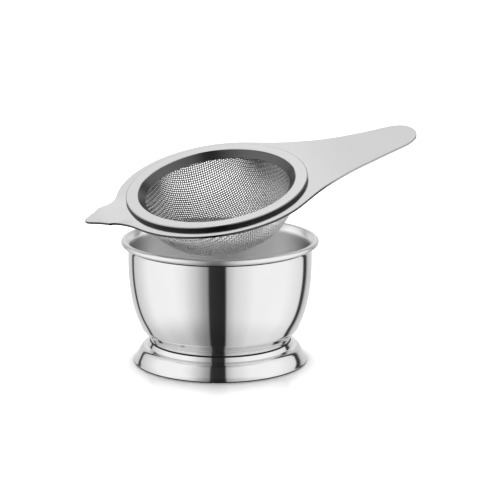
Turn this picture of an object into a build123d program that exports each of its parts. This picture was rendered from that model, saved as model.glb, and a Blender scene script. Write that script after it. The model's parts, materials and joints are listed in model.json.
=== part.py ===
from build123d import *

import math
import os

# Tea strainer on its drip bowl. Millimetres, +Z up.
# Origin: centre of the ring that the bowl's foot stands on. +X: the handle's direction when level.

# Drip bowl
sheet = 0.7                  # steel sheet of the bowl and the foot
bowl_radius = 31.15          # outside of the upper wall
bead_radius = 1.0            # tube radius of the rolled rim
bead_sheet = 0.45            # the rolled rim is thinned by the rolling
bead_centre_radius = 32.5    # bowl axis to the middle of the rolled rim
bead_centre_height = 41.44
flare_height = 39.2          # where the wall starts to turn out into the rolled rim
bowl_crease = (26.75, 11.7)  # the rounded wall meets the cone below it, radius and height
bowl_bottom = 7.2            # underside of the bowl, where the foot is welded on
bowl_bottom_radius = 23.9
bowl_floor_top = bowl_bottom + sheet

# Foot
foot_radius = 29.7
foot_lip_height = 0.5        # straight edge above the table
foot_lip_width = 2.4         # flange turned in under the foot
foot_shelf_height = 5.5
foot_shelf_radius = 26.2     # where the flat shelf turns down into the flared side
foot_collar_radius = 24.9    # foot of the short collar under the bowl
foot_top = bowl_bottom       # the foot's top disc touches the bowl's underside
foot_shelf_hole_radius = 13.0

# Strainer, measured from the top face of its rim ring, level, ring axis on Z
plate_thickness = 0.8
plate_radius = 34.6
plate_hole_radius = 27.0
plate_top = -1.22
plate_bottom = plate_top - plate_thickness
handle_tip = 72.4
handle_sides = [(30, 21.1), (38, 16.8), (46, 13.5), (54, 11.2), (62, 9.3), (68, 7.6), (71.3, 4.6)]
handle_root_angle = 55.5     # where the handle's side leaves the ring's circle, degrees
handle_bend_start = 38.0     # the handle curves up from here
handle_rise = 1.6            # to this height at its tip
tab_outline = [(-28, 9.4), (-39.9, 6.5), (-41.8, 4.5), (-47.7, 0)]
tab_bend = (-30.8, -40.0)    # the tab curves up between these
tab_rise = 1.15

ring_sheet = 0.5
ring_outer_radius = 30.8
ring_inner_radius = 26.83
collar_radius = 24.4         # lower edge of the sloping collar inside the ring
collar_drop = 2.4

mesh_thickness = 0.4
basket_radius = 25.75        # outside of the wire cloth at the top
basket_straight = 4.0        # depth where its wall starts to curve in
basket_depth = 21.6
basket_roundness = 2.2       # exponent of the superellipse of its profile
hem_radius = 29.2
hem_bottom = plate_bottom - mesh_thickness

clamp_sheet = 0.5
clamp_outer_radius = 29.6
clamp_gap = 0.1              # between the clamp's collar and the wire cloth
clamp_skirt_bottom = -3.3

# How the strainer stands over the bowl
seat_gap = 0.15              # between plate and rolled rim with the strainer seated
seated_ring_height = bead_centre_height + bead_radius + seat_gap - plate_bottom
tilt_direction = 224.45      # compass direction of its low side, degrees from +X
tilt_reach = 58.04           # bowl axis to the tilt axis
tilt_angle = 16.74           # how far it is tipped up from the seated position

up = Vector(0, 0, 1)
tilt_low_side = Vector(1, 0, 0).rotate(Axis.Z, tilt_direction)
tilt_axis = Axis(
    tilt_low_side * tilt_reach + up * seated_ring_height,
    up.cross(tilt_low_side),
)


def lathe(*outline):
    """Turn the closed outline that these edges make, as (radius, height), round the Z axis."""
    section = make_face(Curve() + list(outline))
    return revolve(Plane.XZ * section, Axis.Z)


def ring_section(inner, outer, low, high):
    """A turned ring of rectangular section."""
    return lathe(Polyline((inner, low), (outer, low), (outer, high), (inner, high), close=True))


def bowl_shell():
    """Spun bowl: flat bottom, rounded wall and hollow rolled rim."""
    outer_cone = Spline(
        (bowl_bottom_radius, bowl_bottom), (24.15, 8.1), (24.9, 9.3), bowl_crease,
    )
    outer = Spline(
        bowl_crease, (28.5, 15.9), (30.4, 23.7), (bowl_radius, 31.5), (bowl_radius, flare_height),
    )
    inner_radius = bowl_radius - sheet
    inner = Spline(
        (inner_radius, flare_height), (inner_radius, 31.5), (30.4 - sheet, 23.9), (27.85, 16.3),
        (26.1, 12.1),
    )
    inner_cone = Spline(
        (26.1, 12.1), (24.3, 9.8), (23.6, 8.8), (23.1, bowl_floor_top),
    )
    rim_start = (bead_centre_radius - 0.85 * bead_radius, bead_centre_height + 0.5 * bead_radius)
    flare = Spline(rim_start, (inner_radius + 0.2, flare_height + 1.3), inner @ 0)
    wall = lathe(
        outer_cone,
        outer,
        Polyline(outer @ 1, (bead_centre_radius - 0.8 * bead_radius, bead_centre_height), rim_start),
        flare,
        inner,
        inner_cone,
        Polyline(inner_cone @ 1, (0, bowl_floor_top), (0, bowl_bottom), outer_cone @ 0),
    )
    bead_centre = Pos(bead_centre_radius, bead_centre_height)
    bead = revolve(Plane.XZ * bead_centre * Circle(bead_radius), Axis.Z)
    hollow = revolve(Plane.XZ * bead_centre * Circle(bead_radius - bead_sheet), Axis.Z)
    return wall + bead - hollow


def foot_ring():
    """Hollow flared foot: top disc and collar under the bowl, shelf, side, flange at the table."""
    outer_side = Spline(
        (foot_radius, foot_lip_height), (29.0, 1.3), (27.8, 3.5), (26.9, 4.95),
        (foot_shelf_radius, foot_shelf_height),
    )
    inner_side = Spline((25.9, foot_shelf_height - sheet), (27.2, 3.1), (foot_radius - 1.3, sheet))
    return lathe(
        outer_side,
        Polyline(
            outer_side @ 1, (foot_collar_radius, foot_shelf_height + 0.15), (24.1, foot_top),
            (foot_shelf_hole_radius, foot_top), (foot_shelf_hole_radius, foot_top - sheet),
            (23.5, foot_top - sheet), (foot_collar_radius - 0.6, foot_shelf_height - sheet), inner_side @ 0,
        ),
        inner_side,
        Polyline(
            inner_side @ 1, (foot_radius - foot_lip_width, sheet), (foot_radius - foot_lip_width, 0),
            (foot_radius, 0), outer_side @ 0,
        ),
    )


def curved_slab():
    """The plate's thickness seen from the side: level over the ring, handle and tab curving up."""
    def side(height):
        handle_start = (handle_bend_start, height)
        handle = TangentArc(handle_start, (handle_tip + 1, height + handle_rise), tangent=(1, 0))
        tab_start = (tab_bend[0], height)
        tab_level = (tab_bend[1], height + tab_rise)
        tab = Spline(tab_start, tab_level, tangents=[(-1, 0), (-1, 0)])
        tab_end = Line(tab_level, (tab_outline[-1][0] - 1, height + tab_rise))
        return handle, Line(handle_start, tab_start), tab, tab_end

    top = side(plate_top)
    bottom = side(plate_bottom)
    ends = [Line(top[i] @ 1, bottom[i] @ 1) for i in (0, 3)]
    section = make_face(Curve() + [*top, *bottom, *ends])
    return extrude(Plane.XZ * section, plate_radius + 5, both=True)


def handle_plate():
    """Stamped plate: ring, handle and pointed rest tab in one piece."""
    root = Vector(plate_radius, 0).rotate(Axis.Z, handle_root_angle)
    root_tangent = Vector(root.Y, -root.X)
    upper_side = [(root.X, root.Y)] + handle_sides
    lower_side = [(x, -y) for x, y in reversed(upper_side)]
    edge = Spline(
        *upper_side, (handle_tip, 0), *lower_side,
        tangents=[root_tangent, Vector(-root_tangent.X, root_tangent.Y)],
    )
    handle = make_face(Curve() + [edge, Line(edge @ 1, edge @ 0)])
    tab = make_face(Polyline(*tab_outline, *[(x, -y) for x, y in reversed(tab_outline[:-1])], close=True))
    outline = Circle(plate_radius) + handle + tab
    corners = outline.vertices()
    tip = corners.sort_by(Axis.X)[0]
    notches = [v for v in corners if -43 < v.X < -41]
    shoulders = [v for v in corners if -41 < v.X < -39]
    roots = [v for v in corners if -34.6 < v.X < -32]
    outline = fillet(tip, 2.2)
    for radius, group in ((1.5, notches), (1.2, shoulders), (7.0, roots)):
        near = [outline.vertices().sort_by_distance(v)[0] for v in group]
        outline = fillet(near, radius)
    blank = extrude(outline - Circle(plate_hole_radius), 5, both=True)
    return blank & curved_slab()


def rim_ring():
    """Raised ring on the plate: flat top, turned-down outer edge, collar sloping in over the mesh."""
    slope = ring_sheet * math.sqrt(2)
    outline = Polyline(
        (ring_inner_radius, 0), (ring_outer_radius, 0), (ring_outer_radius, plate_top),
        (ring_outer_radius - ring_sheet, plate_top), (ring_outer_radius - ring_sheet, -ring_sheet),
        (ring_inner_radius + slope - ring_sheet, -ring_sheet), (collar_radius + slope, -collar_drop),
        (collar_radius, -collar_drop),
        close=True,
    )
    return lathe(outline)


def basket_profile(radius, depth):
    """Half section of the basket from its wall to its middle, as points."""
    points = []
    steps = 10
    for step in range(steps + 1):
        turn = math.pi / 2 * step / steps
        points.append((
            radius * math.cos(turn) ** (2 / basket_roundness),
            -basket_straight - (depth - basket_straight) * math.sin(turn) ** (2 / basket_roundness),
        ))
    points[-1] = (0, -depth)
    return points


def mesh_basket():
    """The wire cloth as a thin closed shell, with the hem that is clamped under the plate."""
    inner_radius = basket_radius - mesh_thickness
    outside = Spline(*basket_profile(basket_radius, basket_depth), tangents=[(0, -1), (-1, 0)])
    inside = Spline(*basket_profile(inner_radius, basket_depth - mesh_thickness), tangents=[(0, -1), (-1, 0)])
    return lathe(
        Polyline(
            inside @ 0, (inner_radius, hem_bottom), (inner_radius + 0.5, plate_bottom),
            (hem_radius, plate_bottom), (hem_radius, hem_bottom), (basket_radius, hem_bottom), outside @ 0,
        ),
        outside,
        Line(outside @ 1, inside @ 1),
        inside,
    )


def clamp_ring():
    """Ring under the plate that holds the hem of the mesh, with a skirt round the basket."""
    skirt_inner = basket_radius + clamp_gap
    skirt = ring_section(skirt_inner, skirt_inner + clamp_sheet, clamp_skirt_bottom, hem_bottom)
    flange = ring_section(skirt_inner, clamp_outer_radius, hem_bottom - clamp_sheet, hem_bottom)
    return skirt + flange


def tipped_up(piece):
    """Seat a strainer piece on the bowl, then tip it up about the tilt axis."""
    return (Pos(0, 0, seated_ring_height) * piece).rotate(tilt_axis, tilt_angle)


nodes = {
    "bowl_shell": bowl_shell(),
    "foot_ring": foot_ring(),
    "handle_plate": tipped_up(handle_plate()),
    "rim_ring": tipped_up(rim_ring()),
    "mesh_basket": tipped_up(mesh_basket()),
    "clamp_ring": tipped_up(clamp_ring()),
}

os.makedirs("parts", exist_ok=True)
for name, shape in nodes.items():
    shape.label = name
    export_step(shape, f"parts/{name}.step")
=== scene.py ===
import json
import math
from itertools import groupby

import bmesh
import bpy
import numpy as np
from mathutils import Matrix, Vector


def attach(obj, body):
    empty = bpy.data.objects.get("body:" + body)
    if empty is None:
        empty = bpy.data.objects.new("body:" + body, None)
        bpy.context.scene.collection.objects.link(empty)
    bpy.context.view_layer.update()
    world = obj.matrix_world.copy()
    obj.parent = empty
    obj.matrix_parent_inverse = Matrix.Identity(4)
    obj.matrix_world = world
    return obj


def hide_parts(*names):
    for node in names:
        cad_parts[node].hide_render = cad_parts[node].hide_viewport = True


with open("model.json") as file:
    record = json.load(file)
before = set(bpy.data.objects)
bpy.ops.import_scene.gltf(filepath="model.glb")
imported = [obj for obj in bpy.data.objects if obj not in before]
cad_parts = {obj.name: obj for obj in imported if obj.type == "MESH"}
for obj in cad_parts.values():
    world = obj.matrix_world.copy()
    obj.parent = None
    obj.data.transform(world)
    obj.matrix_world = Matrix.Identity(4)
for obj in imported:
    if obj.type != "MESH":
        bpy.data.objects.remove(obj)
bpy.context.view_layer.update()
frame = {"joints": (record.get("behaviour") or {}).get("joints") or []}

# Looks of the tea strainer and its drip bowl. Sizes are in millimetres and repeat part.py's.
# The strainer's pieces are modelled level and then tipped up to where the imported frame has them.
MM = 0.001                      # in metres, the unit of the frame and of Blender

# Drip bowl and foot
SHEET = 0.7
BOWL_RADIUS = 31.15
BEAD_RADIUS = 1.0
BEAD_CENTRE = (32.5, 41.44)
FLARE_HEIGHT = 39.2
BOWL_CREASE = (26.75, 11.7)
BOWL_BOTTOM = 7.2
BOWL_BOTTOM_RADIUS = 23.9
BOWL_FLOOR_TOP = BOWL_BOTTOM + SHEET
FOOT_RADIUS = 29.7
FOOT_LIP_HEIGHT = 0.5
FOOT_LIP_WIDTH = 2.4
FOOT_SHELF_HEIGHT = 5.5
FOOT_SHELF_RADIUS = 26.2
FOOT_COLLAR_RADIUS = 24.9
FOOT_SHELF_HOLE = 13.0
FOOT_EASE = 0.22                # rounding of its corners

# Strainer, measured from the top face of its rim ring
PLATE_RADIUS = 34.6
PLATE_HOLE = 27.0
PLATE_TOP = -1.22
PLATE_BOTTOM = -2.02
PLATE_EASE = 0.12               # rounding of its cut edges
HANDLE_TIP = 72.4
HANDLE_SIDES = [(30, 21.1), (38, 16.8), (46, 13.5), (54, 11.2), (62, 9.3), (68, 7.6), (71.3, 4.6)]
HANDLE_ROOT_ANGLE = 55.5        # its side leaves the ring's circle here, degrees
HANDLE_BEND = 38.0              # it curves up from here
HANDLE_RISE = 1.6               # to this height at its tip
TAB_ROOT = (-33.66, 8.02)       # its side meets the ring's circle
TAB_ROOT_REACH = 6.0            # the rounded corner there starts this far away
TAB_SHOULDER = (-39.9, 6.5)
TAB_SHOULDER_REACH = 0.5
TAB_NOTCH = (-41.8, 4.5)
TAB_NOTCH_REACH = 0.3
TAB_CORNER = -47.7              # its sides would meet here without the rounded tip
TAB_TIP_RADIUS = 2.2
TAB_BEND = (-30.8, -40.0)       # it curves up between these
TAB_RISE = 1.15
RING_SHEET = 0.5
RING_OUTER = 30.8
RING_INNER = 26.83
RING_EASE = 0.3
COLLAR_RADIUS = 24.4
COLLAR_DROP = 2.4
BASKET_RADIUS = 25.75
BASKET_STRAIGHT = 4.0
BASKET_DEPTH = 21.6
BASKET_ROUNDNESS = 2.2
CLOTH = 0.4
HEM_RADIUS = 29.2
HEM_BOTTOM = PLATE_BOTTOM - CLOTH
HEM_EASE = 0.12
CLAMP_SHEET = 0.5
CLAMP_OUTER = 29.6
CLAMP_GAP = 0.1
CLAMP_SKIRT_BOTTOM = -3.3
CLAMP_EASE = 0.2

# Wire cloth of the basket
WIRE_PITCH = 0.8
WIRE_RADIUS = 0.2
WIRE_LIFT = 0.19                # how far it swings out of the cloth's middle surface at a crossing
WIRE_TOP = HEM_BOTTOM + 0.15    # it ends inside the pressed hem
WIRE_SIDES = 6
WIRES_TO_EDGE = 52              # enough of them each way from the middle to pass the hem
FEWEST_CROSSINGS = 4            # one that would have fewer than this is left out

# Camera, placed round the object, and studio
CAMERA_AZIMUTH = -18.5
CAMERA_ELEVATION = 13.13
CAMERA_DISTANCE = 700
CAMERA_TARGET = (9.628, -3.180, 38.146)
CAMERA_LENS = 148.6
SENSOR_WIDTH = 36

PAINTED_FAN_DIRECTION = 71.5            # the dark line between the painted fans of light in the satin, a painted highlight, degrees from +X
COLUMN_ELEVATION = 15.5         # from this high the mirrored gap is a straight column, degrees

AROUND = 288                    # segments of a turned piece
EASED_FROM = 25                 # an outline's corner that turns by fewer degrees is left as it is
SHARP_FOLD = 40                 # folds of more degrees than this are shaded sharp


# ---------------------------------------------------------------- outlines

def spline(points, samples, start=None, end=None):
    """Points on a cubic spline through these points; start and end are its directions there, if given."""
    points = np.array(points, float)
    gaps = np.linalg.norm(np.diff(points, axis=0), axis=1)
    slopes = np.diff(points, axis=0) / gaps[:, None]
    knots = np.concatenate([[0], np.cumsum(gaps)])
    count = len(knots)
    # one row for each point's tangent: the curvature has no jumps, and is nil at a free end
    system = np.zeros((count, count))
    right = np.zeros(points.shape)
    for i in range(1, count - 1):
        system[i, i - 1:i + 2] = gaps[i], 2 * (gaps[i - 1] + gaps[i]), gaps[i - 1]
        right[i] = 3 * (gaps[i] * slopes[i - 1] + gaps[i - 1] * slopes[i])
    for row, beside, slope, direction in ((0, 1, slopes[0], start), (count - 1, count - 2, slopes[-1], end)):
        if direction is None:
            system[row, row], system[row, beside] = 2, 1
            right[row] = 3 * slope
        else:
            system[row, row] = 1
            right[row] = np.array(direction, float) / np.linalg.norm(direction)
    tangents = np.linalg.solve(system, right)
    where = np.linspace(0, knots[-1], samples)
    span = np.clip(np.searchsorted(knots, where, side="right") - 1, 0, count - 2)
    size = gaps[span][:, None]
    t = ((where - knots[span]) / gaps[span])[:, None]
    return (
        (2 * t**3 - 3 * t**2 + 1) * points[span]
        + (t**3 - 2 * t**2 + t) * size * tangents[span]
        + (3 * t**2 - 2 * t**3) * points[span + 1]
        + (t**3 - t**2) * size * tangents[span + 1]
    )


def arc(centre, radius, first, last, samples):
    """Points on a circle from one angle to another, in degrees."""
    turn = np.radians(np.linspace(first, last, samples))
    return np.stack([centre[0] + radius * np.cos(turn), centre[1] + radius * np.sin(turn)], axis=1)


def bend(before, corner, after, samples):
    """A rounded corner: a parabola from one point to another that starts and ends towards the corner."""
    before, corner, after = (np.array(p, float) for p in (before, corner, after))
    t = np.linspace(0, 1, samples)[:, None]
    return (1 - t)**2 * before + 2 * t * (1 - t) * corner + t**2 * after


def towards(start, goal, distance):
    """The point at this distance from start on the way to goal."""
    start, goal = np.array(start, float), np.array(goal, float)
    return start + (goal - start) * distance / np.linalg.norm(goal - start)


def eased(outline, radius):
    """A closed outline with its corners rounded, and a point beside each that keeps the flats flat."""
    outline = [np.array(p, float) for p in outline]
    result = []
    for i, corner in enumerate(outline):
        before, after = outline[i - 1], outline[(i + 1) % len(outline)]
        arriving, leaving = corner - before, after - corner
        lengths = np.linalg.norm(arriving), np.linalg.norm(leaving)
        cosine = np.clip(arriving @ leaving / (lengths[0] * lengths[1]), -1, 1)
        turn = math.acos(cosine)
        if corner[0] < 1e-6 or math.degrees(turn) < EASED_FROM:
            result.append(corner)
            continue
        # on a short flat the roundings of its two ends stay clear of each other
        reach = min(radius * math.tan(turn / 2), 0.42 * min(lengths))
        support = min(reach * 1.4, 0.47 * min(lengths))
        result.append(towards(corner, before, support))
        result.extend(bend(towards(corner, before, reach), corner, towards(corner, after, reach), 6))
        result.append(towards(corner, after, support))
    return np.array(result)


# ---------------------------------------------------------------- meshes

def keep_level(mesh):
    """Note where each point lies in the piece's own level frame, for the finishes to follow."""
    where = np.empty(3 * len(mesh.vertices), np.float32)
    mesh.vertices.foreach_get("co", where)
    mesh.attributes.new("level", "FLOAT_VECTOR", "POINT").data.foreach_set("vector", where)


def shown(name, mesh, finishes):
    """An object for this mesh, with its finishes, smooth shaded except across sharp folds."""
    for finish in finishes:
        mesh.materials.append(finish)
    mesh.polygons.foreach_set("use_smooth", [True] * len(mesh.polygons))
    mesh.set_sharp_from_angle(angle=math.radians(SHARP_FOLD))
    keep_level(mesh)
    piece = bpy.data.objects.new(name, mesh)
    bpy.context.scene.collection.objects.link(piece)
    return piece


def mesh_object(name, points, faces, finishes, face_finish=None):
    """An object from points in millimetres. A face's finish is its number among the finishes."""
    mesh = bpy.data.meshes.new(name)
    mesh.from_pydata([tuple(p) for p in np.asarray(points) * MM], [], faces)
    if face_finish is not None:
        mesh.polygons.foreach_set("material_index", face_finish)
    cleaner = bmesh.new()
    cleaner.from_mesh(mesh)
    bmesh.ops.recalc_face_normals(cleaner, faces=cleaner.faces)
    cleaner.to_mesh(mesh)
    cleaner.free()
    return shown(name, mesh, finishes)


def lathe(name, runs, finishes):
    """A turned piece. Runs are stretches of its closed (radius, height) outline, with finish numbers."""
    outline = np.concatenate([np.asarray(points, float) for points, _ in runs])
    numbers = np.concatenate([[number] * len(points) for points, number in runs])
    # where two runs meet, their shared point is kept once
    keep = np.linalg.norm(outline - np.roll(outline, 1, axis=0), axis=1) > 1e-4
    outline, numbers = outline[keep], numbers[keep]
    angles = np.linspace(0, 2 * math.pi, AROUND, endpoint=False)
    points, rows = [], []
    for radius, height in outline:
        start = len(points)
        if radius < 1e-6:
            # a single point on the axis closes the piece
            rows.append([start] * AROUND)
            points.append((0, 0, height))
        else:
            rows.append(list(range(start, start + AROUND)))
            points.extend((radius * math.cos(a), radius * math.sin(a), height) for a in angles)
    faces, face_finish = [], []
    for i, row in enumerate(rows):
        following = (i + 1) % len(rows)
        after = rows[following]
        if row[0] == row[1] and after[0] == after[1]:
            continue
        for k in range(AROUND):
            beside = (k + 1) % AROUND
            corners = [row[k], row[beside], after[beside], after[k]]
            faces.append(list(dict.fromkeys(corners)))
            face_finish.append(int(numbers[following]))
    return mesh_object(name, points, faces, finishes, face_finish)


def flat_plate(name, outline, hole, low, high, ease, finishes):
    """A flat sheet with a round hole and rounded edges: finish 1 on the edges, finish 0 on the faces."""
    def loops(closed, inwards):
        """The sheet's side as loops with their heights, from its lower face up to its upper one."""
        ahead, behind = np.roll(closed, -1, axis=0), np.roll(closed, 1, axis=0)
        along = ahead - behind
        normal = np.stack([-along[:, 1], along[:, 0]], axis=1) * inwards
        normal /= np.linalg.norm(normal, axis=1)[:, None]
        # each face ends in a narrow flat strip, which keeps its shading flat, and a quarter round
        turns = [math.radians(a) for a in (0, 30, 60, 90)]
        steps = [(ease * 2.2, 0)] + [(ease * (1 - math.sin(a)), ease * (1 - math.cos(a))) for a in turns]
        rings = [(closed + normal * inset, low + drop) for inset, drop in steps]
        return rings + [(closed + normal * inset, high - drop) for inset, drop in reversed(steps)]

    sheet = bmesh.new()
    side_loops = []
    for closed, inwards in ((outline, 1), (hole, -1)):
        rings = [
            [sheet.verts.new((x, y, z)) for x, y in ring] for ring, z in loops(closed, inwards)
        ]
        for level, (lower, upper) in enumerate(zip(rings, rings[1:])):
            # the strip and the first third of the rounding belong to the face
            on_edge = 2 <= level <= len(rings) - 4
            for k in range(len(lower)):
                after = (k + 1) % len(lower)
                face = sheet.faces.new((lower[k], lower[after], upper[after], upper[k]))
                face.material_index = int(on_edge)
        side_loops.append((rings[0], rings[-1]))
    for end in (0, 1):
        edges = []
        for ends in side_loops:
            ring = ends[end]
            edges.extend(sheet.edges.get((ring[k], ring[(k + 1) % len(ring)])) for k in range(len(ring)))
        bmesh.ops.triangle_fill(sheet, use_beauty=True, use_dissolve=False, edges=edges)
    bmesh.ops.recalc_face_normals(sheet, faces=sheet.faces)
    bmesh.ops.scale(sheet, vec=(MM, MM, MM), verts=sheet.verts)
    mesh = bpy.data.meshes.new(name)
    sheet.to_mesh(mesh)
    sheet.free()
    return shown(name, mesh, finishes)


# ---------------------------------------------------------------- finishes

class Nodes:
    """A node tree, filled and wired in short lines. Values are numbers or other nodes' outputs."""

    def __init__(self, tree):
        self.tree = tree

    def add(self, kind, *values, **settings):
        """A new node with these settings, and these values in its first inputs."""
        node = self.tree.nodes.new(kind)
        for name, value in settings.items():
            setattr(node, name, value)
        for socket, value in zip(node.inputs, values):
            if isinstance(value, bpy.types.NodeSocket):
                self.put(value, socket)
            else:
                socket.default_value = value
        return node

    def put(self, source, target):
        self.tree.links.new(source, target)

    def math(self, operation, *values, clamp=False):
        return self.add("ShaderNodeMath", *values, operation=operation, use_clamp=clamp).outputs[0]

    def vector_math(self, operation, *values):
        return self.add("ShaderNodeVectorMath", *values, operation=operation).outputs

    def split(self, vector):
        return self.add("ShaderNodeSeparateXYZ", vector).outputs

    def join(self, *values):
        return self.add("ShaderNodeCombineXYZ", *values).outputs[0]

    def noise(self, vector, scale=1.0, detail=2.0):
        node = self.add("ShaderNodeTexNoise", vector)
        node.inputs["Scale"].default_value = scale
        node.inputs["Detail"].default_value = detail
        return node.outputs["Fac"]

    def ramp(self, factor, stops):
        """A grey colour ramp with (position, brightness) stops."""
        node = self.add("ShaderNodeValToRGB", factor)
        elements = node.color_ramp.elements
        elements[0].position, elements[1].position = stops[0][0], stops[-1][0]
        for position, _ in stops[1:-1]:
            elements.new(position)
        for element, (_, level) in zip(elements, stops):
            element.color = (level, level, level, 1)
        return node.outputs["Color"]

    def between(self, factor, low, high):
        """Stretch a 0-1 factor over a range."""
        return self.math("MULTIPLY_ADD", factor, high - low, low)

    def climb(self, place, first, last):
        """0 up to the first place and 1 from the last one, both in millimetres."""
        slope = 1 / (last - first)
        return self.math("MULTIPLY_ADD", place, slope / MM, -first * slope, clamp=True)

    def distance(self, x, y):
        """How far x and y are from the Z axis."""
        return self.math("SQRT", self.math("ADD", self.math("MULTIPLY", x, x), self.math("MULTIPLY", y, y)))


class Finish(Nodes):
    """A material. Its nodes follow the places in the piece's own level frame."""

    def __init__(self, name):
        self.material = bpy.data.materials.new(name)
        self.material.use_nodes = True
        super().__init__(self.material.node_tree)
        self.shader = self.tree.nodes["Principled BSDF"]
        self.place = self.add("ShaderNodeAttribute", attribute_name="level").outputs["Vector"]

    def shade(self, factor, low, high):
        """A grey that follows the factor."""
        value = self.between(factor, low, high)
        self.put(self.join(value, value, value), self.shader.inputs["Base Color"])

    def bump(self, height, distance):
        """Relief that follows the height, this many millimetres deep."""
        node = self.add("ShaderNodeBump")
        node.inputs["Distance"].default_value = distance * MM
        node.inputs["Strength"].default_value = 1.0
        self.put(height, node.inputs["Height"])
        self.put(node.outputs[0], self.shader.inputs["Normal"])

    def steel(self, roughness):
        """The finished material: bare metal of this roughness."""
        self.shader.inputs["Metallic"].default_value = 1.0
        self.put(roughness, self.shader.inputs["Roughness"])
        return self.material


def turned_lines(nodes, spacing, streak):
    """Noise drawn out round the Z axis, as polishing on a lathe leaves it. Spacing is in millimetres."""
    x, y, z = nodes.split(nodes.place)
    radius = nodes.distance(x, y)
    across = 1 / (spacing * MM)
    return nodes.noise(
        nodes.join(
            nodes.math("MULTIPLY", radius, across),
            nodes.math("MULTIPLY", z, across),
            nodes.math("MULTIPLY", nodes.math("ARCTAN2", y, x), streak),
        ),
        detail=3.0,
    )


def drawn_lines(nodes, spacing, length):
    """Noise drawn out along X, as a belt leaves it on flat sheet. Sizes are in millimetres."""
    x, y, z = nodes.split(nodes.place)
    return nodes.noise(
        nodes.join(
            nodes.math("MULTIPLY", x, 1 / (length * MM)),
            nodes.math("MULTIPLY", y, 1 / (spacing * MM)),
            nodes.math("MULTIPLY", z, 1 / (spacing * MM)),
        ),
        detail=3.0,
    )


def polished_steel():
    """Mirror-polished spun steel, with faint lines round the axis and slight handling marks."""
    nodes = Finish("polished_steel")
    lines = turned_lines(nodes, 0.22, 1.5)
    smears = nodes.noise(nodes.place, scale=90, detail=4.0)
    nodes.shade(smears, 0.735, 0.775)
    roughness = nodes.math("ADD", nodes.between(lines, 0.035, 0.075), nodes.between(smears, 0.0, 0.035))
    nodes.bump(lines, 0.0006)
    return nodes.steel(roughness)


def burnished_bead():
    """Rolled rim, burnished but softer than the wall below it."""
    nodes = Finish("burnished_bead")
    lines = turned_lines(nodes, 0.18, 2.0)
    nodes.shade(lines, 0.74, 0.82)
    nodes.bump(lines, 0.0008)
    return nodes.steel(nodes.between(lines, 0.26, 0.34))


def weld_groove_and_painted_shade():
    """Dark steel for the groove where bowl and foot are joined, dark from the weld and from painted shade,
    and for the bead's hidden underside, dark from painted shade.
    """
    nodes = Finish("weld_groove_and_painted_shade")
    grain = nodes.noise(nodes.place, scale=3000, detail=2.0)
    # dark from the weld and from painted shade
    nodes.shade(grain, 0.02, 0.06)
    return nodes.steel(nodes.between(grain, 0.45, 0.6))


def spun_satin_painted_highlight():
    """Satin inside of the bowl: the spinning tool's fine rings, and soft fans of light painted into its
    colour as a painted highlight.
    """
    nodes = Finish("spun_satin_painted_highlight")
    lines = turned_lines(nodes, 0.16, 3.0)
    x, y, _ = nodes.split(nodes.place)
    # painted highlight: a bright fan on each side of this direction and of its opposite
    around = nodes.math("ADD", nodes.math("ARCTAN2", y, x), -math.radians(PAINTED_FAN_DIRECTION))
    painted_fans = nodes.math("ABSOLUTE", nodes.math("SINE", nodes.math("MULTIPLY", around, 2.0)))
    painted_fans = nodes.math("MULTIPLY", painted_fans, nodes.math("ABSOLUTE", nodes.math("COSINE", around)))
    streaks = nodes.noise(nodes.join(nodes.math("MULTIPLY", around, 9.0), 0.0, 0.0), detail=3.0)
    # the painted highlight from the fans, with random streaks round the axis
    light = nodes.math("MULTIPLY_ADD", streaks, 0.3, nodes.math("MULTIPLY", painted_fans, 0.6))
    nodes.shade(nodes.math("ADD", light, nodes.math("MULTIPLY", lines, 0.1)), 0.84, 1.2)
    nodes.bump(lines, 0.0012)
    tangent = nodes.add("ShaderNodeTangent", direction_type="RADIAL", axis="Z")
    nodes.put(tangent.outputs[0], nodes.shader.inputs["Tangent"])
    nodes.shader.inputs["Anisotropic"].default_value = 0.75
    nodes.shader.inputs["Anisotropic Rotation"].default_value = 0.25
    return nodes.steel(nodes.between(lines, 0.27, 0.33))


def brushed_plate_painted_shade():
    """Fine satin of the flat plate, its belt lines along the handle, which is painted a little greyer as
    painted shade.
    """
    nodes = Finish("brushed_plate_painted_shade")
    lines = drawn_lines(nodes, 0.12, 7.0)
    cloud = nodes.noise(nodes.place, scale=60, detail=3.0)
    grey = nodes.math("MULTIPLY", nodes.math("ADD", lines, cloud), 0.5)
    along, _, _ = nodes.split(nodes.place)
    # painted shade: the handle greys from 33 mm out to 47 mm
    handle = nodes.climb(along, 33, 47)
    nodes.shade(nodes.math("MULTIPLY_ADD", handle, -0.8, grey), 0.76, 0.84)
    nodes.bump(lines, 0.0012)
    return nodes.steel(nodes.between(lines, 0.11, 0.19))


def cut_edge_painted_light():
    """Edge of the sheet as the die left it, duller: its dark grey is painted shade, and its brighter grey
    along the handle is painted light.
    """
    nodes = Finish("cut_edge_painted_light")
    grain = nodes.noise(nodes.place, scale=2600, detail=2.0)
    along, _, _ = nodes.split(nodes.place)
    # painted light: brighter from 30 mm out along the handle; elsewhere the dark grey is painted shade
    handle = nodes.climb(along, 30, 38)
    nodes.shade(nodes.math("MULTIPLY_ADD", grain, 0.2, nodes.math("MULTIPLY", handle, 0.8)), 0.04, 0.44)
    nodes.bump(grain, 0.005)
    return nodes.steel(nodes.between(grain, 0.14, 0.26))


def pressed_ring():
    """Bright rolled ring and clamp, polished round their axis."""
    nodes = Finish("pressed_ring")
    lines = turned_lines(nodes, 0.18, 2.0)
    nodes.shade(lines, 0.76, 0.85)
    nodes.bump(lines, 0.0008)
    return nodes.steel(nodes.between(lines, 0.08, 0.16))


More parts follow.
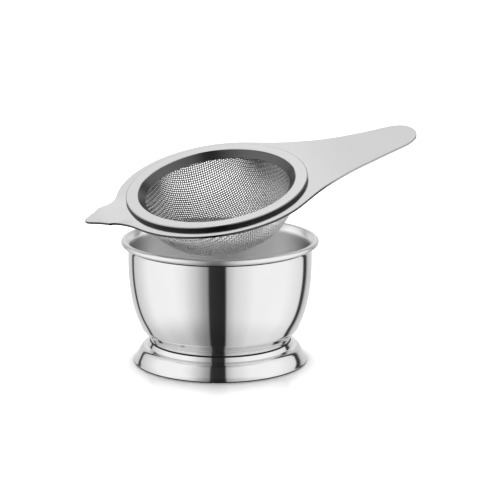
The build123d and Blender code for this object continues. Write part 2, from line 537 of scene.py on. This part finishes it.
def ring_wall_painted_shade():
    """Outer wall of the ring, never polished, and painted nearly black as painted shade for the gap under the
    ring.
    """
    nodes = Finish("ring_wall_painted_shade")
    lines = turned_lines(nodes, 0.25, 4.0)
    # painted shade: nearly black
    nodes.shade(lines, 0.01, 0.04)
    nodes.bump(lines, 0.002)
    return nodes.steel(nodes.between(lines, 0.30, 0.45))


def ring_corner_painted_shade():
    """Rounded outer corner of the ring, painted greyer than its polished top as a painted reflection of
    darker things.
    """
    nodes = Finish("ring_corner_painted_shade")
    lines = turned_lines(nodes, 0.18, 2.0)
    # painted shade: greyer than the polished top
    nodes.shade(lines, 0.36, 0.48)
    return nodes.steel(nodes.between(lines, 0.16, 0.24))


def ring_collar_painted_shade():
    """Sloping inside of the ring: duller than its top, and painted dark as painted shade."""
    nodes = Finish("ring_collar_painted_shade")
    lines = turned_lines(nodes, 0.15, 2.0)
    # painted shade: dark grey
    nodes.shade(lines, 0.065, 0.15)
    nodes.bump(lines, 0.0015)
    return nodes.steel(nodes.between(lines, 0.22, 0.34))


def drawn_wire_painted_light():
    """Drawn stainless wire, a little uneven, with painted light: its faces on the basket's outside are
    painted brighter.
    """
    nodes = Finish("drawn_wire_painted_light")
    drift = nodes.noise(nodes.place, scale=900, detail=2.0)
    # painted light: faces turned outwards from the basket's middle are painted brighter
    from_middle = nodes.vector_math("ADD", nodes.place, (0, 0, BASKET_STRAIGHT * MM))["Vector"]
    direction = nodes.vector_math("NORMALIZE", from_middle)["Vector"]
    facing = nodes.add("ShaderNodeTexCoord").outputs["Normal"]
    outwards = nodes.vector_math("DOT_PRODUCT", direction, facing)["Value"]
    painted_light_outside = nodes.math("ADD", outwards, 0.3, clamp=True)
    nodes.shade(nodes.math("MULTIPLY_ADD", drift, 0.3, painted_light_outside), 0.22, 0.88)
    return nodes.steel(nodes.between(drift, 0.22, 0.34))


def pressed_cloth_painted_shade():
    """Hem of the wire cloth, pressed flat between plate and clamp: crossing wires in low relief, with painted
    shade darker in the low places.
    """
    nodes = Finish("pressed_cloth_painted_shade")
    x, y, _ = nodes.split(nodes.place)
    turn = 2 * math.pi / (WIRE_PITCH * MM)
    weave = nodes.math(
        "MULTIPLY",
        nodes.math("SINE", nodes.math("MULTIPLY", x, turn)),
        nodes.math("SINE", nodes.math("MULTIPLY", y, turn)),
    )
    height = nodes.math("MULTIPLY_ADD", weave, 0.5, 0.5)
    # painted shade: the colour follows the relief, darker in its low places
    nodes.shade(height, 0.35, 0.66)
    nodes.bump(height, 0.05)
    return nodes.steel(nodes.between(height, 0.38, 0.3))


# ---------------------------------------------------------------- drip bowl

def make_bowl():
    """Bowl with its rolled rim; finishes are 0 polished, 1 satin with a painted highlight, 2 bead, 3 dark
    groove and painted shade.
    """
    cone = spline([(BOWL_BOTTOM_RADIUS, BOWL_BOTTOM), (24.15, 8.1), (24.9, 9.3), BOWL_CREASE], 24)
    outer = spline([
        BOWL_CREASE, (28.5, 15.9), (30.4, 23.7), (BOWL_RADIUS, 31.5), (BOWL_RADIUS, FLARE_HEIGHT),
    ], 60)
    inner_radius = BOWL_RADIUS - SHEET
    inner_crease = (26.1, 12.1)
    inner = spline([
        (inner_radius, FLARE_HEIGHT), (inner_radius, 31.5), (30.4 - SHEET, 23.9), (27.85, 16.3), inner_crease,
    ], 50)
    inner_cone = spline([inner_crease, (24.3, 9.8), (23.6, 8.8), (23.1, BOWL_FLOOR_TOP)], 16)
    # the polished wall ends just under the bead, and only the bead's hidden underside is painted dark, as
    # painted shade
    under_bead = (BOWL_RADIUS + 0.09, FLARE_HEIGHT + 0.5)
    bead_under = arc(BEAD_CENTRE, BEAD_RADIUS, -170, -86, 14)
    bead = arc(BEAD_CENTRE, BEAD_RADIUS, -81, 148, 38)
    flare = spline([bead[-1], (inner_radius + 0.2, FLARE_HEIGHT + 1.3), inner[0]], 9)
    floor = [(r, BOWL_FLOOR_TOP) for r in np.linspace(23.0, 0, 24)]
    underside = [(0, BOWL_BOTTOM), (BOWL_BOTTOM_RADIUS, BOWL_BOTTOM)]
    runs = [
        (cone[:3], 3), (cone[3:], 0), ([*outer, under_bead], 0), (bead_under, 3), (bead, 2),
        (flare, 1), (inner, 1), (inner_cone, 1), (floor, 1), (underside, 0),
    ]
    return lathe("bowl", runs, [polished, satin, bead_finish, groove_and_painted_shade])


def make_foot():
    """Hollow foot; the collar's top is dark from the weld and from painted shade, and the lip at the table is
    a cut edge, painted dark as painted shade.
    """
    side = spline(
        [(FOOT_RADIUS, FOOT_LIP_HEIGHT), (29.0, 1.3), (27.8, 3.5), (26.9, 4.95),
         (FOOT_SHELF_RADIUS, FOOT_SHELF_HEIGHT)], 24,
    )
    inner_side = spline([(25.9, FOOT_SHELF_HEIGHT - SHEET), (27.2, 3.1), (FOOT_RADIUS - 1.3, SHEET)], 12)
    outline = [
        *side, (FOOT_COLLAR_RADIUS, FOOT_SHELF_HEIGHT + 0.15), (24.1, BOWL_BOTTOM),
        (FOOT_SHELF_HOLE, BOWL_BOTTOM), (FOOT_SHELF_HOLE, BOWL_BOTTOM - SHEET),
        (23.5, BOWL_BOTTOM - SHEET), (FOOT_COLLAR_RADIUS - 0.6, FOOT_SHELF_HEIGHT - SHEET), *inner_side,
        (FOOT_RADIUS - FOOT_LIP_WIDTH, SHEET), (FOOT_RADIUS - FOOT_LIP_WIDTH, 0), (FOOT_RADIUS, 0),
    ]

    def part(point):
        radius, height = point
        if height > BOWL_BOTTOM - 0.1:
            return 1
        return 2 if radius > FOOT_RADIUS - 0.1 and height < FOOT_LIP_HEIGHT else 0

    runs = [(list(points), number) for number, points in groupby(eased(outline, FOOT_EASE), part)]
    return lathe("foot", runs, [polished, groove_and_painted_shade, edge_painted_light])


# ---------------------------------------------------------------- strainer

def plate_outline():
    """Outside of the plate, counter-clockwise: handle, ring and pointed tab."""
    root_angle = math.radians(HANDLE_ROOT_ANGLE)
    root_x, root_y = math.cos(root_angle), math.sin(root_angle)
    upper = [(root_x * PLATE_RADIUS, root_y * PLATE_RADIUS)] + HANDLE_SIDES
    handle = spline(
        [(x, -y) for x, y in upper] + [(HANDLE_TIP, 0)] + upper[::-1], 300,
        start=(root_y, root_x), end=(-root_y, root_x),
    )
    tab_angle = 180 - math.degrees(math.asin(TAB_ROOT[1] / PLATE_RADIUS))
    root_bend = math.degrees(TAB_ROOT_REACH / PLATE_RADIUS)
    ring = arc((0, 0), PLATE_RADIUS, HANDLE_ROOT_ANGLE, tab_angle - root_bend, 90)[1:]
    # just outside the circle, where the ring's last direction leads to
    root = np.array(TAB_ROOT) / math.cos(math.radians(root_bend))
    shoulder, notch, corner = TAB_SHOULDER, TAB_NOTCH, (TAB_CORNER, 0)
    tip_angle = math.atan2(notch[1], notch[0] - TAB_CORNER)
    tip_centre = (TAB_CORNER + TAB_TIP_RADIUS / math.sin(tip_angle), 0)
    half = np.concatenate([
        ring,
        bend(ring[-1], root, towards(root, shoulder, TAB_ROOT_REACH), 15)[1:],
        bend(
            towards(shoulder, root, TAB_SHOULDER_REACH), shoulder,
            towards(shoulder, notch, TAB_SHOULDER_REACH), 7,
        ),
        bend(
            towards(notch, shoulder, TAB_NOTCH_REACH), notch,
            towards(notch, corner, TAB_NOTCH_REACH), 5,
        ),
        arc(tip_centre, TAB_TIP_RADIUS, 90 + math.degrees(tip_angle), 180, 12),
    ])
    mirrored = half[-2::-1] * np.array([1, -1])
    return np.concatenate([handle, half, mirrored])


def rise(x):
    """How far the handle and the tab curve up at this X."""
    reach = HANDLE_TIP + 1 - HANDLE_BEND
    radius = (reach**2 + HANDLE_RISE**2) / (2 * HANDLE_RISE)
    handle = radius - math.sqrt(radius**2 - max(x - HANDLE_BEND, 0)**2)
    t = min(max((x - TAB_BEND[0]) / (TAB_BEND[1] - TAB_BEND[0]), 0), 1)
    return handle + TAB_RISE * t * t * (3 - 2 * t)


def make_plate():
    """Stamped plate with rounded edges, its handle and tab curved up."""
    hole = arc((0, 0), PLATE_HOLE, 0, 360, 241)[:-1]
    finishes = [plate_painted_shade, edge_painted_light]
    plate = flat_plate("plate", plate_outline(), hole, PLATE_BOTTOM, PLATE_TOP, PLATE_EASE, finishes)
    for point in plate.data.vertices:
        point.co.z += rise(point.co.x / MM) * MM
    return plate


def make_rim():
    """Raised ring; finishes are 0 top, 1 turned-down outer wall in painted shade, 2 collar over the mesh in
    painted shade, 3 outer corner in painted shade.
    """
    slope = RING_SHEET * math.sqrt(2)
    outline = [
        (RING_INNER, 0), (RING_OUTER, 0), (RING_OUTER, PLATE_TOP), (RING_OUTER - RING_SHEET, PLATE_TOP),
        (RING_OUTER - RING_SHEET, -RING_SHEET), (RING_INNER + slope - RING_SHEET, -RING_SHEET),
        (COLLAR_RADIUS + slope, -COLLAR_DROP), (COLLAR_RADIUS, -COLLAR_DROP),
    ]
    # the rounding of the corner, short of its two ends
    rounding = RING_EASE - 0.02

    def part(point):
        radius, height = point
        if radius > RING_OUTER - 0.1 and height < -rounding:
            return 1
        if radius > RING_OUTER - rounding:
            return 3
        return 2 if radius < RING_INNER - 0.1 else 0

    runs = [(list(points), number) for number, points in groupby(eased(outline, RING_EASE), part)]
    return lathe("rim", runs, [ring_finish, wall_painted_shade, collar_painted_shade, corner_painted_shade])


def make_clamp():
    """Ring under the plate that grips the hem, with a skirt round the basket."""
    skirt_inner = BASKET_RADIUS + CLAMP_GAP
    skirt_outer = skirt_inner + CLAMP_SHEET
    outline = [
        (skirt_inner, CLAMP_SKIRT_BOTTOM), (skirt_outer, CLAMP_SKIRT_BOTTOM),
        (skirt_outer, HEM_BOTTOM - CLAMP_SHEET), (CLAMP_OUTER, HEM_BOTTOM - CLAMP_SHEET),
        (CLAMP_OUTER, HEM_BOTTOM), (skirt_inner, HEM_BOTTOM),
    ]
    return lathe("clamp", [(eased(outline, CLAMP_EASE), 0)], [ring_finish])


def make_hem():
    """Flat hem of the wire cloth, between plate and clamp."""
    inner = BASKET_RADIUS - CLOTH
    outline = [
        (inner, HEM_BOTTOM), (HEM_RADIUS, HEM_BOTTOM),
        (HEM_RADIUS, PLATE_BOTTOM), (inner + 0.5, PLATE_BOTTOM),
    ]
    return lathe("mesh_hem", [(eased(outline, HEM_EASE), 0)], [hem_painted_shade])


# ---------------------------------------------------------------- wire cloth

def basket_surface(points):
    """Below 0 inside the cloth's middle surface and above 0 outside it, with the gradient."""
    radius = BASKET_RADIUS - CLOTH / 2
    depth = BASKET_DEPTH - CLOTH / 2 - BASKET_STRAIGHT
    power = BASKET_ROUNDNESS
    x, y, z = points.T
    flat = (x * x + y * y) / radius**2
    drop = np.maximum((-z - BASKET_STRAIGHT) / depth, 0)
    value = flat**(power / 2) + drop**power - 1
    side = power * np.maximum(flat, 1e-12)**(power / 2 - 1) / radius**2
    gradient = np.stack([side * x, side * y, -power * drop**(power - 1) / depth], axis=1)
    return value, gradient


def meridian(count):
    """Points at the wire pitch up the cloth from its lowest point, in the XZ plane."""
    radius = BASKET_RADIUS - CLOTH / 2
    depth = BASKET_DEPTH - CLOTH / 2 - BASKET_STRAIGHT
    turn = np.linspace(math.pi / 2, 0, 4000)
    x = radius * np.cos(turn)**(2 / BASKET_ROUNDNESS)
    z = -BASKET_STRAIGHT - depth * np.sin(turn)**(2 / BASKET_ROUNDNESS)
    # straight on up, farther than any wire goes
    x, z = np.append(x, radius), np.append(z, z[-1] + 30)
    along = np.concatenate([[0], np.cumsum(np.hypot(np.diff(x), np.diff(z)))])
    where = np.arange(count) * WIRE_PITCH
    return np.interp(where, along, x), np.interp(where, along, z)


def wire_net(count):
    """Crossings of the cloth over a quarter of the basket.

    The wires keep their length, so square cells shear into diamonds as the cloth is pressed round:
    each crossing lies one pitch from two earlier ones, and on the basket's surface.
    """
    net = np.zeros((count, count, 3))
    x, z = meridian(count)
    net[:, 0, 0], net[:, 0, 2] = x, z
    net[0, :, 1], net[0, :, 2] = x, z
    for diagonal in range(2, 2 * count - 1):
        i = np.arange(max(1, diagonal - count + 1), min(count - 1, diagonal - 1) + 1)
        j = diagonal - i
        first, second, behind = net[i - 1, j], net[i, j - 1], net[i - 1, j - 1]
        # Newton's method from the fourth corner of a flat cell; the small term keeps it solvable
        guess = first + second - behind
        for _ in range(12):
            value, gradient = basket_surface(guess)
            errors = np.stack([
                ((guess - first)**2).sum(1) - WIRE_PITCH**2,
                ((guess - second)**2).sum(1) - WIRE_PITCH**2,
                value,
            ], axis=1)
            slopes = np.stack([2 * (guess - first), 2 * (guess - second), gradient], axis=1)
            guess = guess - np.linalg.solve(slopes + np.eye(3) * 1e-9, errors[:, :, None])[:, :, 0]
        net[i, j] = guess
    return net


def wire_tubes(wires):
    """Points and faces of the wires, from the centre line and the outward normals of each."""
    angles = np.linspace(0, 2 * math.pi, WIRE_SIDES, endpoint=False)
    points, faces, start = [], [], 0
    for centres, normals in wires:
        along = np.gradient(centres, axis=0)
        along /= np.linalg.norm(along, axis=1)[:, None]
        side = np.cross(along, normals)
        side /= np.linalg.norm(side, axis=1)[:, None]
        lift = np.cross(side, along)
        for angle in angles:
            points.append(centres + WIRE_RADIUS * (math.cos(angle) * lift + math.sin(angle) * side))
        count = len(centres)
        for k in range(WIRE_SIDES):
            here, there = start + k * count, start + (k + 1) % WIRE_SIDES * count
            faces.extend((here + i, here + i + 1, there + i + 1, there + i) for i in range(count - 1))
        for end in (0, count - 1):
            faces.append([start + k * count + end for k in range(WIRE_SIDES)])
        start += WIRE_SIDES * count
    return np.concatenate(points), faces


def crossings():
    """Crossings over the whole basket as square grids: places, outward normals, over (1) or under (-1)."""
    reach = np.arange(-WIRES_TO_EDGE + 1, WIRES_TO_EDGE)
    rows, columns = np.meshgrid(reach, reach, indexing="ij")
    mirror = np.stack([np.where(rows < 0, -1, 1), np.where(columns < 0, -1, 1), np.ones_like(rows)], axis=2)
    places = wire_net(WIRES_TO_EDGE)[abs(rows), abs(columns)] * mirror
    normals = basket_surface(places.reshape(-1, 3))[1].reshape(places.shape)
    normals /= np.linalg.norm(normals, axis=2)[:, :, None]
    over = np.where((rows + columns) % 2 == 0, 1.0, -1.0)[:, :, None]
    return places, normals, over


def woven(places, normals, over):
    """One wire's centre line and normals: out or in at each crossing, on the middle surface between."""
    centres = np.empty((2 * len(places) - 1, 3))
    centres[0::2] = places + normals * over * WIRE_LIFT
    centres[1::2] = (places[:-1] + places[1:]) / 2
    facing = np.empty_like(centres)
    facing[0::2] = normals
    facing[1::2] = normals[:-1] + normals[1:]
    return centres, facing


def make_mesh():
    """The basket's warp and weft, woven over and under each other."""
    places, normals, over = crossings()
    swapped = (1, 0, 2)
    lays = {
        "mesh_warp": (places, normals, over),
        "mesh_weft": (places.transpose(swapped), normals.transpose(swapped), -over.transpose(swapped)),
    }
    pieces = []
    for name, lay in lays.items():
        wires = []
        for wire in zip(*lay):
            below_hem = wire[0][:, 2] < WIRE_TOP
            if below_hem.sum() >= FEWEST_CROSSINGS:
                wires.append(woven(*(grid[below_hem] for grid in wire)))
        points, faces = wire_tubes(wires)
        pieces.append(mesh_object(name, points, faces, [wire_painted_light]))
    return pieces


# ---------------------------------------------------------------- studio

def camera_back():
    """Direction from the target to the camera."""
    turn, height = math.radians(CAMERA_AZIMUTH), math.radians(CAMERA_ELEVATION)
    return Vector((math.sin(turn) * math.cos(height), -math.cos(turn) * math.cos(height), math.sin(height)))


def add_camera():
    camera = bpy.data.objects.new("camera", bpy.data.cameras.new("camera"))
    camera.data.sensor_width = SENSOR_WIDTH
    camera.data.lens = CAMERA_LENS
    camera.data.clip_start = 0.01
    camera.data.clip_end = 50
    camera.location = (Vector(CAMERA_TARGET) + camera_back() * CAMERA_DISTANCE) * MM
    camera.rotation_euler = camera_back().to_track_quat("Z", "Y").to_euler()
    bpy.context.scene.collection.objects.link(camera)
    bpy.context.scene.camera = camera


def add_floor():
    """A plain white table with a slight gloss, which fills the view and which the steel doesn't mirror, with
    a painted contact shadow round the foot.
    """
    size = 6.0  # half its width, in metres
    corners = [(-size, -size, 0), (size, -size, 0), (size, size, 0), (-size, size, 0)]
    mesh = bpy.data.meshes.new("table")
    mesh.from_pydata(corners, [], [(0, 1, 2, 3)])
    keep_level(mesh)
    table = bpy.data.objects.new("table", mesh)
    nodes = Finish("table_white_painted_shadow")
    x, y, _ = nodes.split(nodes.place)
    radius = nodes.distance(x, y)
    # painted contact shadow: the table darkens towards the foot, over this many millimetres
    reach = 2.0
    gap = nodes.math("MULTIPLY_ADD", radius, 1 / (reach * MM), -FOOT_RADIUS / reach)
    painted_contact_shadow = nodes.math("POWER", math.e, nodes.math("MULTIPLY", nodes.math("MAXIMUM", gap, 0.0), -1.0))
    grain = nodes.between(nodes.noise(nodes.place, scale=40), 0.80, 0.82)
    nodes.shade(nodes.math("MULTIPLY", grain, nodes.between(painted_contact_shadow, 1.0, 0.6)), 0.0, 1.0)
    nodes.shader.inputs["Roughness"].default_value = 0.12
    nodes.shader.inputs["Specular IOR Level"].default_value = 0.5
    mesh.materials.append(nodes.material)
    bpy.context.scene.collection.objects.link(table)
    table.visible_glossy = False


def add_key_light():
    """A broad light over and behind the object: it lights the table and casts the soft shadow."""
    light = bpy.data.objects.new("key", bpy.data.lights.new("key", "SUN"))
    light.data.energy = 8.6
    light.data.angle = math.radians(75)
    light.rotation_euler = (math.radians(-16), 0, math.radians(CAMERA_AZIMUTH))
    light.visible_glossy = False
    bpy.context.scene.collection.objects.link(light)


def add_surroundings():
    """What the steel mirrors: bright panels all round, with three dark gaps between them."""
    world = bpy.data.worlds.new("studio")
    bpy.context.scene.world = world
    world.cycles_visibility.diffuse = False
    world.use_nodes = True
    nodes = Nodes(world.node_tree)
    background = nodes.tree.nodes["Background"]

    # directions as the camera sees them: X right, Y away from it
    seen = nodes.add("ShaderNodeVectorRotate", rotation_type="Z_AXIS")
    nodes.put(nodes.add("ShaderNodeTexCoord").outputs["Generated"], seen.inputs["Vector"])
    seen.inputs["Angle"].default_value = -math.radians(CAMERA_AZIMUTH)
    x, y, z = nodes.split(seen.outputs[0])
    # radians round the object, from 0 at the camera to pi behind the object on the right
    compass = nodes.math("ARCTAN2", x, nodes.math("MULTIPLY", y, -1.0))
    # twice the direction that a surface faces when it mirrors this to the camera: by this measure
    # the gap at the camera runs straight down the bowl and the foot
    ahead = nodes.math("SUBTRACT", math.cos(math.radians(COLUMN_ELEVATION)), y)
    column = nodes.math("MULTIPLY", nodes.math("ARCTAN2", x, ahead), 2.0)
    # it replaces the compass within this half-width, and fades out beside it
    width = nodes.math("MULTIPLY_ADD", nodes.math("SUBTRACT", ahead, 0.6, clamp=True), 0.35, 0.25)
    middle = nodes.math("SUBTRACT", width, nodes.math("ABSOLUTE", column))
    middle = nodes.math("MULTIPLY_ADD", middle, 3.0, 1.0, clamp=True)
    # but not straight behind the object
    near = nodes.math("MULTIPLY_ADD", ahead, 15.0, -0.3, clamp=True)
    share = nodes.math("MULTIPLY", middle, near)
    compass = nodes.math("MULTIPLY_ADD", nodes.math("SUBTRACT", column, compass), share, compass)

    # degrees from the camera to the right, with the brightness there
    behind_left = [(-180, 0.95), (-170, 0.86), (-160, 0.77), (-150, 0.75), (-144, 0.74)]
    left_gap = [(-141, 0.05), (-137, 0.05)]
    left = [(-134, 0.72), (-120, 0.88), (-100, 1.14), (-60, 1.18), (-46, 1.06), (-30, 0.75), (-20, 0.46)]
    camera_gap = [(-14.5, 0.36), (-13, 0.04), (7, 0.025)]
    right = [(9.5, 0.62), (20, 0.90), (45, 1.14), (90, 1.16), (118, 0.98), (126, 0.90)]
    right_gap = [(129, 0.05), (136, 0.05)]
    behind_right = [(142, 0.62), (150, 0.75), (160, 0.77), (170, 0.84), (180, 0.95)]
    round_about = behind_left + left_gap + left + camera_gap + right + right_gap + behind_right
    compass = nodes.math("MULTIPLY_ADD", compass, 1 / (2 * math.pi), 0.5)
    around = nodes.ramp(compass, [(0.5 + degrees / 360, level) for degrees, level in round_about])
    nodes.put(around, background.inputs["Color"])

    # overhead and towards the table it gets darker: degrees over the horizon, with the brightness
    height = nodes.math("MULTIPLY_ADD", nodes.math("ARCSINE", z), 1 / math.pi, 0.5)
    upright = nodes.ramp(height, [(0.5 + degrees / 180, level) for degrees, level in (
        (-90, 0.60), (-75, 0.70), (-60, 0.76), (-46, 0.87), (-35, 1.0), (48, 1.0), (65, 0.70), (90, 0.50),
    )])
    # the table is a little in shadow on the left
    low = nodes.math("MULTIPLY_ADD", z, -3.0, -1.5, clamp=True)
    shaded = nodes.math("MULTIPLY", low, nodes.math("MULTIPLY", x, -2.5, clamp=True))
    light = nodes.math("MULTIPLY_ADD", shaded, -0.3, 1.0)
    nodes.put(nodes.math("MULTIPLY", upright, light), background.inputs["Strength"])


# ---------------------------------------------------------------- assembly

polished = polished_steel()
satin = spun_satin_painted_highlight()
bead_finish = burnished_bead()
groove_and_painted_shade = weld_groove_and_painted_shade()
plate_painted_shade = brushed_plate_painted_shade()
edge_painted_light = cut_edge_painted_light()
ring_finish = pressed_ring()
wall_painted_shade = ring_wall_painted_shade()
collar_painted_shade = ring_collar_painted_shade()
corner_painted_shade = ring_corner_painted_shade()
wire_painted_light = drawn_wire_painted_light()
hem_painted_shade = pressed_cloth_painted_shade()

# at rest the strainer is seated on the bowl and then tipped up about its hinge
lift = frame["joints"][0]
hinge = Vector(lift["pos_m"])
tilt = math.radians(-lift["range_deg"][0])
tipped_up = (
    Matrix.Translation(hinge) @ Matrix.Rotation(tilt, 4, Vector(lift["axis"]))
    @ Matrix.Translation(-hinge) @ Matrix.Translation((0, 0, hinge.z))
)

for piece, node, slot in (
    (make_bowl(), "bowl_shell", "polished_steel"),
    (make_foot(), "foot_ring", "polished_steel"),
):
    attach(piece, "drip_bowl")
    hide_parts(node)

warp, weft = make_mesh()
for piece, node, slot in (
    (make_plate(), "handle_plate", "satin_steel"),
    (make_rim(), "rim_ring", "satin_steel"),
    (make_clamp(), "clamp_ring", "satin_steel"),
    (make_hem(), "mesh_basket", "steel_mesh"),
    (warp, "mesh_basket", "steel_mesh"),
    (weft, "mesh_basket", "steel_mesh"),
):
    piece.data.transform(tipped_up)
    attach(piece, "strainer")
    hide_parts(node)

add_camera()
add_floor()
add_key_light()
add_surroundings()
bpy.context.scene.view_settings.view_transform = "Standard"
